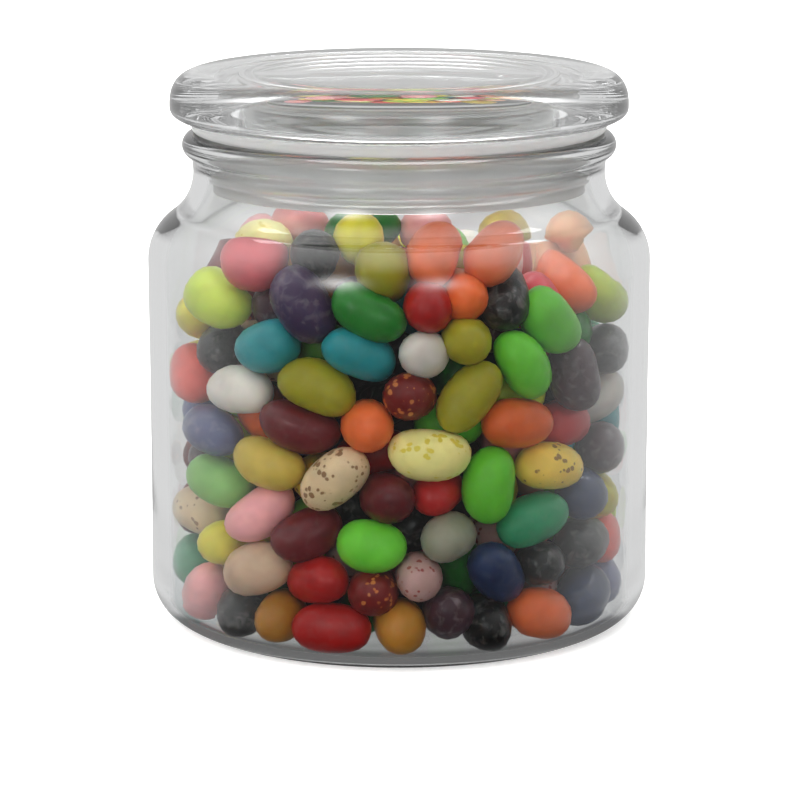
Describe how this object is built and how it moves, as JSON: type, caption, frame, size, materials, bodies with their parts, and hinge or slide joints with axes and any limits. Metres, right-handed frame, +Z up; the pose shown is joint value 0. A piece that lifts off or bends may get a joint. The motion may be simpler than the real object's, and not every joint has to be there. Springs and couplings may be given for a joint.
{
  "type": "jar of jelly beans",
  "caption": "Round clear glass candy jar with a domed glass lid, filled with jelly beans of many flavours.",
  "frame": {"origin": "centre of the foot, on the surface that the jar stands on", "axes": "+Z up along the jar's axis; -Y towards the viewer of the front"},
  "size_m": [0.108, 0.108, 0.119],
  "materials": {
    "jar_glass": "clear pressed soda-lime glass, smooth and bright, walls about 3.5 mm thick",
    "lid_glass": "clear pressed soda-lime glass with a thick rounded edge",
    "seal_plastic": "clear soft moulded plastic with low ribs",
    "bean_shell": null
  },
  "bodies": {
    "root": {"jar": "jar_glass", "lid_seal": "seal_plastic", "lid": "lid_glass", "beans": "bean_shell"}
  },
  "joints": []
}
